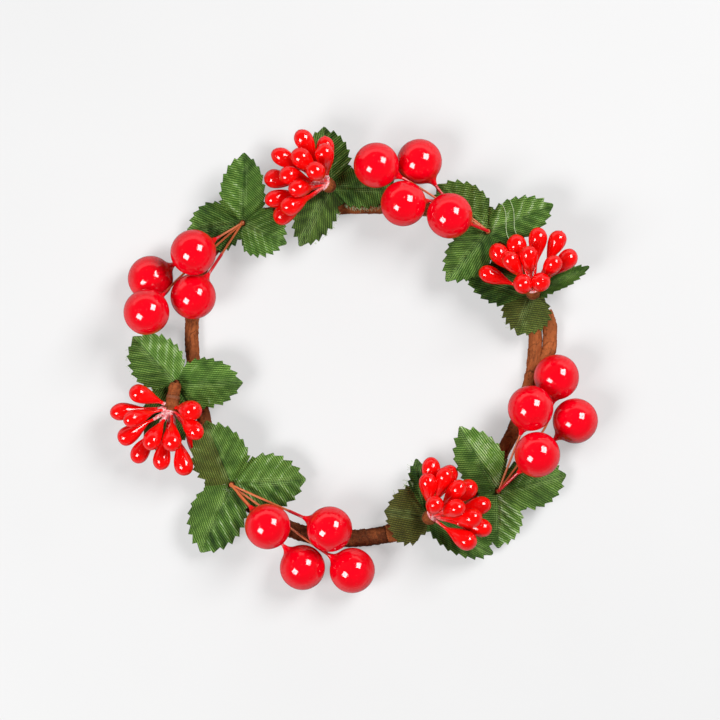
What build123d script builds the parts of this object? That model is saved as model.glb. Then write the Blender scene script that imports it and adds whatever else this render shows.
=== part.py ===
from build123d import *
import math
import os

# A candle ring of artificial berries: a wire ring bound in brown paper tape carries eight picks,
# four with red berries on wires and four with a bunch of red stamens, each through a trefoil leaf.
# Z is up, the ring lies on the plane Z = 0, and the origin is below the middle of the whole ring.

# Ring: the wire and the paper tape wound round it
ring_radius = 45.5
stem_diameter = 3.6
thick_stem_diameter = 4.6
core_wire_diameter = 1.2
stem_flat_depth = 0.3
core_clearance = 0.05
core_end_gap = 1.0
tail_diameter = 3.8
tail_clearance = 0.05
tail_bow_depth = 0.2

# Picks: the taped stem that carries a leaf and a sprig or a bunch
pick_stem_diameter = 2.6
pick_reach = 5.5
pick_elbow_radius = 1.8
berry_hub_height = 4.5
stamen_hub_height = 4.1
hub_hole_clearance = 0.1
pick_stand = 0.5
pivot_gap = 0.3

# Leaves
lobe_length = 19.5
lobe_width = 14.0
leaf_thickness = 0.4
hub_diameter = 5.0
tooth_depth = 0.7
eye_room_diameter = 5.6

# Berries and their wires
berry_diameter = 12.0
berry_neck_length = 1.3
berry_neck_base_diameter = 4.0
berry_neck_tip_diameter = 1.7
berry_bore_depth = 2.2
sprig_wire_diameter = 0.6
wire_bore_clearance = 0.04
wire_end_gap = 0.1
wire_bend_radius = 3.0
wire_knot_diameter = 2.0

# Stamen bunches
neck_diameter = 3.2
neck_length = 2.4
neck_head_diameter = 4.0
thread_thickness = 0.35
thread_clearance = 0.02
thread_width = 0.8
pip_length = 7.6
pip_diameter = 4.5
filament_diameter = 0.6
stamen_reach = 10.0

# The two points that pull a pip's outline out between its filament and its tip: distance from
# its axis and place along it, as shares of its diameter and its length.
pip_pull_shares = [(0.42, 0.25), (0.88, 1)]

# Where the picks leave the ring: angle round the ring, radius as a share of the ring's radius,
# and how far the wire's heading is turned from a circle's there, in degrees.
ring_place_shares = {
    "right_stamen": (23.5, 1.087, -13.5),
    "top_berry": (48, 1.096, 10),
    "top_stamen": (101, 0.974, -8),
    "left_berry": (129, 1.109, -12),
    "left_stamen": (184, 0.976, 6),
    "bottom_berry": (221, 1.01, -5),
    "bottom_stamen": (294.5, 0.955, 1.5),
    "right_berry": (321.5, 0.956, 3.5),
}

# How far each pick's leaf stands along and outside the ring, as shares of the pick's reach.
lean_shares = {
    "right_stamen": (0.18, 0),
    "top_berry": (0, 0),
    "top_stamen": (0, 1.0),
    "left_berry": (0, 0),
    "left_stamen": (-0.15, 0.9),
    "bottom_berry": (0, 0),
    "bottom_stamen": (0, -0.15),
    "right_berry": (-0.5, 0.8),
}

# Berries as places from the leaf's eye, along, outward and up from the ring's underside, as
# shares of a berry's diameter, and the place that the berry's wire is bent through, if any.
berry_place_shares = {
    "top": [
        ((2.85, -0.1, 0.95), (2.0, 0, 0.75)),
        ((2.1, 0.5, 0.52), (1.3, 0.15, 0.55)),
        ((1.9, -0.5, 1.0), (1.35, -0.05, 0.65)),
        ((0.9, -0.2, 1.15), None),
    ],
    "left": [
        ((1.23, -0.13, 1.2), None),
        ((2.36, -0.17, 0.52), None),
        ((1.69, -0.97, 0.8), (1.05, -0.6, 0.6)),
        ((2.73, -0.83, 1.25), (1.8, -0.45, 0.62)),
    ],
    "right": [
        ((2.8, -0.4, 0.6), (1.85, 0.05, 0.57)),
        ((1.9, -0.5, 1.05), None),
        ((2.25, 0.5, 0.55), (1.15, 0.25, 0.55)),
        ((1.15, 0.2, 1.1), None),
    ],
    "bottom": [
        ((1.2, -0.15, 1.1), None),
        ((2.05, -1.2, 0.9), None),
        ((2.4, -0.2, 0.52), None),
        ((3.1, -1.05, 0.52), (2.0, -0.65, 0.6)),
    ],
}

# A leaf's three lobes: turn from the ring's heading, length and width as shares of a full lobe,
# rise of the midrib and fold of the halves about it, in degrees.
lobe_shares = {
    "top_berry": [(-11, 0.8, 1, -3, 4), (-126, 0.95, 0.9, 12, 24), (82, 0.9, 0.9, 14, 18)],
    "left_berry": [(-119, 0.95, 1, 12, 32), (-20, 0.75, 1, 0, 6), (128, 0.65, 1, 10, 10)],
    "right_berry": [(66, 1.08, 0.9, 22, 8), (-144, 0.78, 0.95, -5, 10), (-42, 0.95, 1, -3, 5)],
    "bottom_berry": [(165, 0.95, 1.05, 18, 12), (58, 1, 1, 2, 4), (-60, 1, 1, 2, 6)],
    "top_stamen": [(-88, 0.8, 0.95, 10, 15), (175, 0.95, 0.8, -3, 5), (61, 0.9, 0.85, 10, 15)],
    "right_stamen": [(64, 0.95, 0.9, 8, 20), (-75, 0.84, 0.62, 10, 58), (151, 0.6, 1, 10, 10)],
    "left_stamen": [(-147, 0.85, 1.05, 10, 10), (80, 0.9, 0.95, 10, 15), (-25, 1, 1, -6, 6)],
    "bottom_stamen": [(146, 0.55, 1.05, 10, 12), (76, 0.8, 0.62, 8, 10), (-56, 1, 0.95, 0, 38)],
}
lobe_base_share = 0.05
lobe_round_share = 0.62
teeth_a_side = 8
tooth_slant_share = 0.85

# A bunch's neck: turn from the ring's heading, rise, and length as a share of an upright neck.
neck_shares = {
    "right": (0, 90, 1),
    "top": (0, 90, 1),
    "left": (-20, 4, 2.6),
    "bottom": (0, 90, 1),
}

# A bunch's stamens: turn from the ring's heading, rise, and reach as a share of the usual one.
stamen_shares = {
    "top": [
        (-64, 12, 1.3), (-34, 6, 1.35), (-46, 38, 1.15), (-85, 42, 0.95), (-15, 32, 1.15),
        (-10, 0, 1.35), (7, 50, 1.15), (12, 15, 1.4), (28, 34, 1.3), (30, 8, 1.35), (-45, 68, 1.1),
        (-88, 12, 0.95),
    ],
    "right": [
        (58, 10, 1.2), (32, 10, 1.3), (28, 38, 1.2), (10, 9, 1.25), (1, 42, 1.2), (50, 70, 1.05),
        (-14, 12, 1.35), (-35, 76, 1.05), (-34, 14, 1.45), (-55, 24, 1.25), (-42, 50, 1.2),
    ],
    "left": [
        (-122, 20, 0.85), (-94, 4, 1.25), (-82, 32, 1.1), (-66, 4, 1.3), (-44, 4, 1.4),
        (-38, 34, 1.1), (-6, 40, 1.1), (-20, 8, 1.35), (2, 8, 1.5), (23, -8, 1.2), (70, 50, 0.8),
        (36, 36, 1.0),
    ],
    "bottom": [
        (45, 25, 1.2), (62, 8, 1.25), (40, -1, 1.13), (75, 28, 1.0), (12, 12, 1.2), (22, 34, 1.2),
        (-12, 2, 1.3), (0, 52, 1.1), (-24, 28, 1.15), (-56, 22, 1.1), (-36, 8, 1.3),
        (48, 68, 1.05),
    ],
}

# The stretches of taped wire between picks, in order round the ring from the right-hand bunch.
stem_sections = [
    ("upper_right_stem", "right_stamen", "top_berry", stem_diameter),
    ("top_stem", "top_berry", "top_stamen", stem_diameter),
    ("upper_left_stem", "top_stamen", "left_berry", stem_diameter),
    ("left_stem", "left_berry", "left_stamen", stem_diameter),
    ("lower_left_stem", "left_stamen", "bottom_berry", stem_diameter),
    ("bottom_stem", "bottom_berry", "bottom_stamen", thick_stem_diameter),
    ("lower_right_stem", "bottom_stamen", "right_berry", stem_diameter),
    ("right_stem", "right_berry", "right_stamen", stem_diameter),
]
tail_start_share = 0.7
tail_end_share = 0.92

core_height = stem_diameter / 2 - stem_flat_depth


def ring_frame(pick):
    """The frame where a pick leaves the ring: X along the ring, Y inward, at the core's height."""
    angle, radius_share, turn = ring_place_shares[pick]
    reach = ring_radius * radius_share
    x = reach * math.cos(math.radians(angle))
    y = reach * math.sin(math.radians(angle))
    return Location((x, y, 0), (0, 0, angle + 90 + turn))


def at(frame, along, outward, up):
    return (frame * Location((along, -outward, up))).position


def direction(frame, turn, rise):
    """A unit vector that is turned from the frame's X and lifted above the level."""
    level = math.cos(math.radians(rise))
    along = level * math.cos(math.radians(turn))
    inward = level * math.sin(math.radians(turn))
    return (frame * Location((along, inward, math.sin(math.radians(rise))))).position - frame.position


def eye_frame(pick):
    """The ring's frame at a pick, moved to the eye of its leaf."""
    along_share, outward_share = lean_shares[pick]
    frame = ring_frame(pick)
    return frame * Location((along_share * pick_reach, -outward_share * pick_reach, 0))


def hub_height(pick):
    return berry_hub_height if pick.endswith("berry") else stamen_hub_height


def pick_top(pick):
    """The height of the top of a pick's taped stem, just above its leaf."""
    return hub_height(pick) + leaf_thickness + pick_stand


def biarc(start, start_heading, end, end_heading):
    """Two arcs that leave one point and reach another in the given headings."""
    chord = end - start
    turn = 1 - start_heading.dot(end_heading)
    lean = chord.dot(start_heading + end_heading)
    handle = (math.sqrt(lean**2 + 2 * turn * chord.dot(chord)) - lean) / (2 * turn)
    middle = (start + end + (start_heading - end_heading) * handle) / 2
    first = TangentArc(start, middle, tangent=start_heading)
    second = TangentArc(middle, end, tangent=first % 1)
    return [first.edge(), second.edge()]


def stem_arcs(first_pick, second_pick):
    ends = [ring_frame(first_pick), ring_frame(second_pick)]
    points = [at(frame, 0, 0, core_height) for frame in ends]
    headings = [direction(frame, 0, 0) for frame in ends]
    return biarc(points[0], headings[0], points[1], headings[1])


def tube(path, diameter, bore=0):
    """A round tube, or a rod without a bore, along a path."""
    profile = Circle(diameter / 2)
    if bore:
        profile -= Circle(bore / 2)
    start = Plane(origin=path @ 0, z_dir=path % 0)
    return sweep(start * profile, path=path)


def above_ground(solid):
    return split(solid, bisect_by=Plane.XY, keep=Keep.TOP)


def stem_section(first_pick, second_pick, diameter):
    path = Wire(stem_arcs(first_pick, second_pick))
    bore = core_wire_diameter + 2 * core_clearance
    return above_ground(tube(path, diameter, bore))


def core_wire():
    """The bare wire inside the tape, once round the ring from the right-hand bunch."""
    arcs = []
    for _, first_pick, second_pick, _ in stem_sections:
        arcs += stem_arcs(first_pick, second_pick)
    arcs[-1] = arcs[-1].trim(0, 1 - core_end_gap / arcs[-1].length)
    return tube(Wire(arcs), core_wire_diameter)


def tail_path():
    """The overlapping end of the wire, which bows out beside the right-hand stretch."""
    beside = Wire(stem_arcs("right_berry", "right_stamen"))
    touch = (stem_diameter + tail_diameter) / 2 + tail_clearance
    shares = (tail_start_share, (tail_start_share + tail_end_share) / 2, tail_end_share)
    bows = (0, tail_bow_depth, 0)
    points = []
    for share, bow in zip(shares, bows):
        heading = beside % share
        outward = Vector(heading.Y, -heading.X, 0)
        points.append(beside @ share + outward * (touch + bow))
    return Wire(ThreePointArc(*points).edges())


def tail_tape():
    bore = core_wire_diameter + 2 * core_clearance
    tape = above_ground(tube(tail_path(), tail_diameter, bore))
    return tape - tube(Wire(stem_arcs("right_berry", "right_stamen")), stem_diameter)


def tail_wire():
    return tube(tail_path(), core_wire_diameter)


def neighbour_stems(pick):
    """The two stretches of ring that meet at a pick, as plain rods."""
    rods = []
    for _, first_pick, second_pick, diameter in stem_sections:
        if pick in (first_pick, second_pick):
            rods.append(tube(Wire(stem_arcs(first_pick, second_pick)), diameter))
    return rods


def pick_stem(pick):
    """The taped stem from the ring up through the leaf's eye."""
    ring_point = at(ring_frame(pick), 0, 0, core_height)
    foot = at(eye_frame(pick), 0, 0, core_height)
    top = at(eye_frame(pick), 0, 0, pick_top(pick))
    if (foot - ring_point).length > pick_elbow_radius:
        path = FilletPolyline(ring_point, foot, top, radius=pick_elbow_radius)
        path = Wire(path.edges())
    else:
        path = Wire(Line(foot, top).edges())
    return tube(path, pick_stem_diameter) - neighbour_stems(pick)


def half_width(share, width):
    """Half of a lobe's width at a share of its length: rounded, and pointed at the tip."""
    spread = lobe_base_share + (1 - lobe_base_share) * share
    return width / 2 * (4 * spread * (1 - spread)) ** lobe_round_share


def half_lobe(length, width, fold):
    """One toothed half of a lobe, beside its midrib on X and folded up about it."""
    points = [(0, 0)]
    for tooth in range(teeth_a_side):
        notch = tooth / teeth_a_side
        point = (tooth + tooth_slant_share) / teeth_a_side
        points.append((notch * length, half_width(notch, width) - tooth_depth))
        points.append((point * length, half_width(point, width)))
    points.append((length, 0))
    outline = Polyline(*points, close=True)
    plate = extrude(make_face(outline), leaf_thickness)
    return Rot(fold, 0, 0) * plate


def lobe(turn, length_share, width_share, rise, fold):
    near = half_lobe(lobe_length * length_share, lobe_width * width_share, fold)
    return Rot(0, 0, turn) * Rot(0, -rise, 0) * (near + mirror(near, about=Plane.XZ))


def leaf(pick):
    """A trefoil leaf: three folded lobes round a hub with a hole for the pick's stem."""
    blade = Cylinder(hub_diameter / 2, leaf_thickness, align=(Align.CENTER, Align.CENTER, Align.MIN))
    for shares in lobe_shares[pick]:
        blade += lobe(*shares)
    hole = Cylinder(pick_stem_diameter / 2 + hub_hole_clearance, lobe_length)
    room = Pos(0, 0, leaf_thickness + pick_stand + neck_diameter / 2) * Sphere(eye_room_diameter / 2)
    return eye_frame(pick) * Location((0, 0, hub_height(pick))) * (blade - hole - room)


def sprig_pivot(side):
    pick = side + "_berry"
    up = pick_top(pick) + pivot_gap + wire_knot_diameter / 2
    return at(eye_frame(pick), 0, 0, up)


def berry_centre(side, place):
    along_share, outward_share, up_share = place
    frame = eye_frame(side + "_berry")
    along, outward = along_share * berry_diameter, outward_share * berry_diameter
    return at(frame, along, outward, up_share * berry_diameter)


def berry_neck(side, place, bend):
    """A berry's centre and the unit vector from it along its neck, towards its wire."""
    centre = berry_centre(side, place)
    towards = berry_centre(side, bend) if bend else sprig_pivot(side)
    return centre, (towards - centre).normalized()


def berry(side, place, bend):
    """A round berry with a short cone for a neck and a bore that its wire is glued in."""
    centre, heading = berry_neck(side, place, bend)
    radius = berry_diameter / 2
    neck_height = radius + berry_neck_length
    neck_base_height = math.sqrt(radius**2 - (berry_neck_base_diameter / 2) ** 2)
    upright = (Align.CENTER, Align.CENTER, Align.MIN)
    cone = Cone(berry_neck_base_diameter / 2, berry_neck_tip_diameter / 2,
                neck_height - neck_base_height, align=upright)
    bore = Cylinder(sprig_wire_diameter / 2 + wire_bore_clearance, berry_bore_depth, align=upright)
    body = Sphere(radius) + Pos(0, 0, neck_base_height) * cone
    body -= Pos(0, 0, neck_height - berry_bore_depth) * bore
    return Plane(origin=centre, z_dir=heading) * body


def sprig_wire(side, place, bend):
    """One berry's wire, from the knot over the leaf into the bore of the berry's neck."""
    centre, heading = berry_neck(side, place, bend)
    end_reach = berry_diameter / 2 + berry_neck_length - berry_bore_depth + wire_end_gap
    end = centre + heading * end_reach
    start = sprig_pivot(side)
    if bend:
        path = FilletPolyline(start, berry_centre(side, bend), end, radius=wire_bend_radius)
    else:
        path = Line(start, end)
    return tube(Wire(path.edges()), sprig_wire_diameter)


def sprig_wires(side):
    """The four wires of a sprig, twisted into a knot that sits over the leaf's eye."""
    wires = Pos(sprig_pivot(side)) * Sphere(wire_knot_diameter / 2)
    for place, bend in berry_place_shares[side]:
        wires += sprig_wire(side, place, bend)
    return wires


def bunch_pivot(side):
    pick = side + "_stamen"
    return at(eye_frame(pick), 0, 0, pick_top(pick) + pivot_gap + neck_diameter / 2)


def neck_heading(side):
    turn, rise, _ = neck_shares[side]
    return direction(eye_frame(side + "_stamen"), turn, rise)


def bunch_head(side):
    """The middle of the round head that a bunch's stamens spring from."""
    return bunch_pivot(side) + neck_heading(side) * (neck_length * neck_shares[side][2])


def bunch_neck(side):
    """The taped neck of a bunch, round at the pivot and with a round head."""
    pivot, head = bunch_pivot(side), bunch_head(side)
    rod = tube(Wire(Line(pivot, head).edges()), neck_diameter)
    return Pos(pivot) * Sphere(neck_diameter / 2) + rod + Pos(head) * Sphere(neck_head_diameter / 2)


def bunch_thread(side):
    """The white thread wound round a bunch's neck below its head, as a plain band."""
    bore = neck_diameter + 2 * thread_clearance
    band = Circle(bore / 2 + thread_thickness) - Circle(bore / 2)
    heading = neck_heading(side)
    seat = neck_head_diameter / 2 + thread_width / 2
    middle = bunch_head(side) - heading * seat
    foot = Plane(origin=middle - heading * (thread_width / 2), z_dir=heading)
    return foot * extrude(band, thread_width)


def stamen(side, turn, rise, reach_share):
    """A stamen: a thin filament from the head, with a long pip on it, blunt at the tip."""
    foot = neck_head_diameter / 2
    pip_start = stamen_reach * reach_share - pip_length / 2
    tip = pip_start + pip_length
    thin = filament_diameter / 2
    pulls = [
        (pip_diameter * width_share, pip_start + pip_length * length_share)
        for width_share, length_share in pip_pull_shares
    ]
    profile = make_face([
        Line((0, foot), (thin, foot)),
        Line((thin, foot), (thin, pip_start)),
        Bezier((thin, pip_start), *pulls, (thin, tip)),
        Line((thin, tip), (0, tip)),
        Line((0, tip), (0, foot)),
    ])
    drop = revolve(Plane.XZ * profile, Axis.Z)
    heading = direction(eye_frame(side + "_stamen"), turn, rise)
    return Plane(origin=bunch_head(side), z_dir=heading) * drop


def stamens(side):
    return Compound([stamen(side, *shares).solid() for shares in stamen_shares[side]])


def build():
    """All the pieces by name, before they are moved over the origin."""
    pieces = {"ring_core_wire": core_wire()}
    pieces["overlap_tail_tape"] = tail_tape()
    pieces["overlap_tail_wire"] = tail_wire()
    for name, first_pick, second_pick, diameter in stem_sections:
        pieces[name] = stem_section(first_pick, second_pick, diameter)
    for pick in ring_place_shares:
        pieces[pick + "_pick_stem"] = pick_stem(pick)
        pieces[pick + "_leaf"] = leaf(pick)
    for side, places in berry_place_shares.items():
        pieces[side + "_sprig_wires"] = sprig_wires(side)
        for number, (place, bend) in enumerate(places, start=1):
            pieces[f"{side}_berry_{number}"] = berry(side, place, bend)
    for side in stamen_shares:
        pieces[side + "_bunch_neck"] = bunch_neck(side)
        pieces[side + "_bunch_thread"] = bunch_thread(side)
        pieces[side + "_stamens"] = stamens(side)
    return pieces


pieces = build()
box = Compound([solid for piece in pieces.values() for solid in piece.solids()]).bounding_box()
middle = box.center()
to_origin = Location((-middle.X, -middle.Y, 0))

os.makedirs("parts", exist_ok=True)
for name, piece in pieces.items():
    export_step(to_origin * piece, f"parts/{name}.step")

print("box", box.min, box.max)
for side in berry_place_shares:
    print(side, "sprig pivot", to_origin * Location(sprig_pivot(side)))
for side in stamen_shares:
    print(side, "bunch pivot", to_origin * Location(bunch_pivot(side)))
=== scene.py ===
"""A candle ring of artificial berries: taped wire, cloth leaves, dipped berries and stamens."""
import random
from math import atan2, cos, exp, hypot, pi, radians, sin, sqrt, tan, tau

import bmesh
import bpy
from mathutils import Matrix, Quaternion, Vector, noise


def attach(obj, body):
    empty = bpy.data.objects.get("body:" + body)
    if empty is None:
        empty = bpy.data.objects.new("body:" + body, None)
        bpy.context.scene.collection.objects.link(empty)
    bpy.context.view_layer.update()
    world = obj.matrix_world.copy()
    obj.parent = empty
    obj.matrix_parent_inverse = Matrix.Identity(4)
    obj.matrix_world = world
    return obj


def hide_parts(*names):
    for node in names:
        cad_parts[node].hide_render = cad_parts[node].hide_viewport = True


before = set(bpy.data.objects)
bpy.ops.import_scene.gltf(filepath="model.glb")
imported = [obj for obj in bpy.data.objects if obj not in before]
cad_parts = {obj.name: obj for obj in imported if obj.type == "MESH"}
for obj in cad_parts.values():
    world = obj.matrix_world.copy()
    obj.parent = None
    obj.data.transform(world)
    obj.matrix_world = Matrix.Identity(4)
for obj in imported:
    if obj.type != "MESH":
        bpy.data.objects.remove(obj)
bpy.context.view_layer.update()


# The ground. A wide sheet of pale matt paper lies under the ring and takes its soft shadows. It
# is grey, so that it throws little light back, and looks white only where it is seen directly.

class Value:
    """A socket of a node tree. An expression on values adds the Math nodes that work it out."""

    def __init__(self, tree, socket=None):
        self.tree, self.socket = tree, socket

    def node(self, kind, settings, inputs, out=0):
        """Adds any node: its settings first, then the values or links of its sockets."""
        node = self.tree.nodes.new(kind)
        for name, setting in settings.items():
            if name == "stops":
                ramp = node.color_ramp.elements
                while len(ramp) < len(setting):
                    ramp.new(1)
                for stop, (place, colour) in zip(ramp, setting):
                    stop.position, stop.color = place, colour
            else:
                setattr(node, name, setting)
        for name, value in inputs.items():
            if isinstance(value, Value):
                self.tree.links.new(value.socket, node.inputs[name])
            else:
                node.inputs[name].default_value = value
        return Value(self.tree, node.outputs[out])

    def maths(self, operation, *values):
        return self.node("ShaderNodeMath", {"operation": operation}, dict(enumerate(values)))

    def __add__(self, other):
        return self.maths("ADD", self, other)

    def __sub__(self, other):
        return self.maths("SUBTRACT", self, other)

    def __rsub__(self, other):
        return self.maths("SUBTRACT", other, self)

    def __mul__(self, other):
        return self.maths("MULTIPLY", self, other)

    def __truediv__(self, other):
        return self.maths("DIVIDE", self, other)

    def __pow__(self, other):
        return self.maths("POWER", self, other)

    __radd__ = __add__
    __rmul__ = __mul__

    def size(self):
        return self.maths("ABSOLUTE", self)

    def past_whole(self):
        """What is left of this value above the whole number below it."""
        return self - self.maths("FLOOR", self)

    def clamped(self):
        return self.node("ShaderNodeClamp", {}, {"Value": self})

    def between(self, low, high):
        """0 below low, 1 above high, and smooth between."""
        return self.node("ShaderNodeMapRange", {"interpolation_type": "SMOOTHSTEP"},
                         {"Value": self, "From Min": low, "From Max": high})

    def tinted(self, low, high):
        """A colour between two, with this value as the share of the second."""
        return self.node("ShaderNodeMix", {"data_type": "RGBA"}, {0: self, 6: low, 7: high}, 2)

    def wave(self):
        """0 to 1 to 0 as this value runs through each whole number."""
        return self.maths("SINE", self * tau) * 0.5 + 0.5

    def marks(self, name):
        """The three marks of a name that the mesh carries."""
        return self.node("ShaderNodeAttribute", {"attribute_name": name}, {}, 1)

    def mark(self, name, number=0):
        return self.node("ShaderNodeSeparateXYZ", {}, {"Vector": self.marks(name)}, number)

    def speckle(self, scale, detail=2.0, rough=0.5, places=None):
        """Soft noise over the piece, with its scale in grains to the unit of its places."""
        places = places or self.node("ShaderNodeTexCoord", {}, {}, 3)
        return self.node("ShaderNodeTexNoise", {}, {"Vector": places, "Scale": scale,
                                                    "Detail": detail, "Roughness": rough})

    def bumped(self, height, depth):
        """A surface direction that is tilted by a height, for the Normal socket."""
        return self.node("ShaderNodeBump", {}, {"Height": height, "Distance": depth,
                                                "Strength": 1.0})


def srgb(red, green, blue):
    """A colour for a socket, from the eight-bit values that it should look like."""
    levels = []
    for level in (red, green, blue):
        share = level / 255
        levels.append(share / 12.92 if share < 0.04045 else ((share + 0.055) / 1.055) ** 2.4)
    return (*levels, 1.0)


def grey(level):
    return (level, level, level, 1.0)


def finish(name):
    """A new material: itself, its surface shader and a value that starts its expressions."""
    material = bpy.data.materials.new(name)
    material.use_nodes = True
    shader = material.node_tree.nodes["Principled BSDF"]
    return material, shader, Value(material.node_tree)


def feed(shader, **sockets):
    """Sets or links a shader's own sockets, named with _ for a space."""
    for name, value in sockets.items():
        socket = shader.inputs[name.replace("_", " ")]
        if isinstance(value, Value):
            value.tree.links.new(value.socket, socket)
        else:
            socket.default_value = value


def piece(name, build, material):
    """An object from a bmesh, with smooth faces."""
    mesh = bpy.data.meshes.new(name)
    for face in build.faces:
        face.smooth = True
    build.to_mesh(mesh)
    build.free()
    mesh.materials.append(material)
    made = bpy.data.objects.new(name, mesh)
    bpy.context.scene.collection.objects.link(made)
    return made


ground_half = 3.0
ground_depth = 0.00002
ground_look, shader, value = finish("ground_paper")
fleck = value.speckle(14.0, 3.0)
seen_directly = value.node("ShaderNodeLightPath", {}, {})
feed(shader, Base_Color=fleck.tinted(srgb(161, 161, 161), srgb(167, 167, 167)), Roughness=0.9,
     Emission_Color=seen_directly.tinted(grey(0.0), grey(0.43)), Emission_Strength=1.0,
     Specular_IOR_Level=0.1)
build = bmesh.new()
build.faces.new([build.verts.new((x * ground_half, y * ground_half, -ground_depth))
                 for x, y in ((-1, -1), (1, -1), (1, 1), (-1, 1))])
piece("ground", build, ground_look)


# The studio. Two square soft lamps stand on either side of a camera that looks straight down,
# in a room that is pale round its sides and darker overhead.

camera = bpy.data.objects.new("camera", bpy.data.cameras.new("camera"))
camera.location = (0.00153, 0.0002, 0.70)
camera.data.lens = 130.9
camera.data.sensor_width = 36
camera.data.clip_start = 0.01
bpy.context.scene.collection.objects.link(camera)
bpy.context.scene.camera = camera


def turned(angle, rise=0):
    """A unit vector at an angle from X, lifted above the level, both in degrees."""
    angle, rise = radians(angle), radians(rise)
    return Vector((cos(rise) * cos(angle), cos(rise) * sin(angle), sin(rise)))


lamp_distance = 0.75
lamp_rise = 48
for bearing, power, wide, tall, spin in ((37, 5.2, 0.31, 0.38, 40), (211, 4.5, 0.32, 0.32, 25)):
    lamp = bpy.data.objects.new("soft_lamp", bpy.data.lights.new("soft_lamp", "AREA"))
    lamp.data.shape = "RECTANGLE"
    lamp.data.size, lamp.data.size_y = wide, tall
    lamp.data.energy = power
    towards = turned(bearing, lamp_rise)
    lamp.location = towards * lamp_distance
    lamp.rotation_mode = "QUATERNION"
    lamp.rotation_quaternion = (towards.to_track_quat("Z", "Y")
                                @ Quaternion((0, 0, 1), radians(spin)))
    bpy.context.scene.collection.objects.link(lamp)

room = bpy.data.worlds.new("room")
bpy.context.scene.world = room
room.use_nodes = True
value = Value(room.node_tree)
bearings = value.node("ShaderNodeTexCoord", {}, {})
ahead, heights = (value.node("ShaderNodeSeparateXYZ", {}, {"Vector": bearings}, number)
                  for number in (1, 2))
wall_stops = [(0.0, grey(0.24)), (0.14, grey(0.20)), (0.28, grey(0.09)), (1.0, grey(0.05))]
walls = value.node("ShaderNodeValToRGB", {"stops": wall_stops}, {"Fac": heights})
far_wall = (1 - heights.between(0.30, 0.40)) * ahead.between(0.35, 0.6)
feed(room.node_tree.nodes["Background"], Color=far_wall.tinted(walls, grey(0.75)))
bpy.context.scene.view_settings.view_transform = "Standard"


# The ring. Stretches of iron wire bound in brown crepe-paper tape run between the eight picks,
# bent in gentle arcs; the tape is wound in a spiral and glued, and the underside lies flat.

millimetre = 0.001
ring_middle = Vector((0.002081, -0.002731, 0))
ring_radius = 0.0455
wire_height = 0.0015
# Each pick's angle round the ring, its share of the ring's radius, and how far the wire there
# turns from running straight round.
ring_places = {
    "right_stamen": (23.5, 1.087, -13.5),
    "top_berry": (48, 1.096, 10),
    "top_stamen": (101, 0.974, -8),
    "left_berry": (129, 1.109, -12),
    "left_stamen": (184, 0.976, 6),
    "bottom_berry": (221, 1.01, -5),
    "bottom_stamen": (294.5, 0.955, 1.5),
    "right_berry": (321.5, 0.956, 3.5),
}


def ring_point(pick):
    angle, share, _ = ring_places[pick]
    return ring_middle + turned(angle) * (ring_radius * share)


def heading_angle(pick):
    angle, _, turn = ring_places[pick]
    return angle + 90 + turn


def bend_to(heading, chord):
    """The level angle from a heading to a chord."""
    return atan2(heading.x * chord.y - heading.y * chord.x, heading.dot(chord))


def arc(start, heading, end, step):
    """Points along the arc that leaves start in a heading and reaches end, without its end."""
    chord = end - start
    bend = bend_to(heading, chord)
    straight = abs(bend) < 1e-6
    count = max(2, round(chord.length * (1 if straight else bend / sin(bend)) / step))
    points = []
    for index in range(count):
        part = bend * index / count
        reach = chord.length * (index / count if straight else sin(part) / sin(bend))
        points.append(start + Matrix.Rotation(part, 3, "Z") @ heading * reach)
    return points


def ring_path(first, second, step):
    """The wire's middle line between two picks: two arcs that meet smoothly."""
    start, end = ring_point(first), ring_point(second)
    leaving, arriving = turned(heading_angle(first)), turned(heading_angle(second))
    chord = end - start
    turn = 1 - leaving.dot(arriving)
    lean = chord.dot(leaving + arriving)
    handle = (sqrt(lean ** 2 + 2 * turn * chord.dot(chord)) - lean) / (2 * turn)
    middle = (start + end + (leaving - arriving) * handle) / 2
    passing = Matrix.Rotation(2 * bend_to(leaving, middle - start), 3, "Z") @ leaving
    points = arc(start, leaving, middle, step) + arc(middle, passing, end, step) + [end]
    return [point + Vector((0, 0, wire_height)) for point in points]


def rails(path):
    """The direction and two side vectors at each point of a path, carried along untwisted."""
    frames = []
    side = None
    for index, point in enumerate(path):
        ahead = path[min(index + 1, len(path) - 1)] - path[max(index - 1, 0)]
        ahead.normalize()
        if side is None:
            side = ahead.orthogonal() if abs(ahead.z) > 0.95 else ahead.cross(Vector((0, 0, 1)))
        side = (side - ahead * side.dot(ahead)).normalized()
        frames.append((point, side, side.cross(ahead)))
    return frames


def bridged(build, rings):
    """Adds faces from each ring of vertices to the next. A ring of one vertex is a tip."""
    for low, high in zip(rings, rings[1:]):
        for number in range(max(len(low), len(high))):
            corners = (low[number % len(low)], low[(number + 1) % len(low)],
                       high[(number + 1) % len(high)], high[number % len(high)])
            build.faces.new(list(dict.fromkeys(corners)))


def skin(build, path, sides, surface):
    """Adds a tube round a path. surface(along, turn) gives the radius and the vertex's mark."""
    layers = build.verts.layers.float_vector
    lap = layers.get("lap") or layers.new("lap")
    run = layers.get("run") or layers.new("run")
    rings = []
    along = 0.0
    for index, (point, side, up) in enumerate(rails(path)):
        if index:
            along += (point - path[index - 1]).length
        ring = []
        for number in range(sides):
            turn = number / sides
            reach, mark = surface(along, turn)
            level, lift = cos(tau * turn) * reach, sin(tau * turn) * reach
            vertex = build.verts.new(point + side * level + up * lift)
            vertex[lap] = mark
            vertex[run] = Vector((along, level, lift)) / millimetre
            ring.append(vertex)
        rings.append(ring)
    bridged(build, rings)
    build.faces.new(reversed(rings[0]))
    build.faces.new(rings[-1])


def length_of(path):
    return sum((b - a).length for a, b in zip(path, path[1:]))


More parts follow.
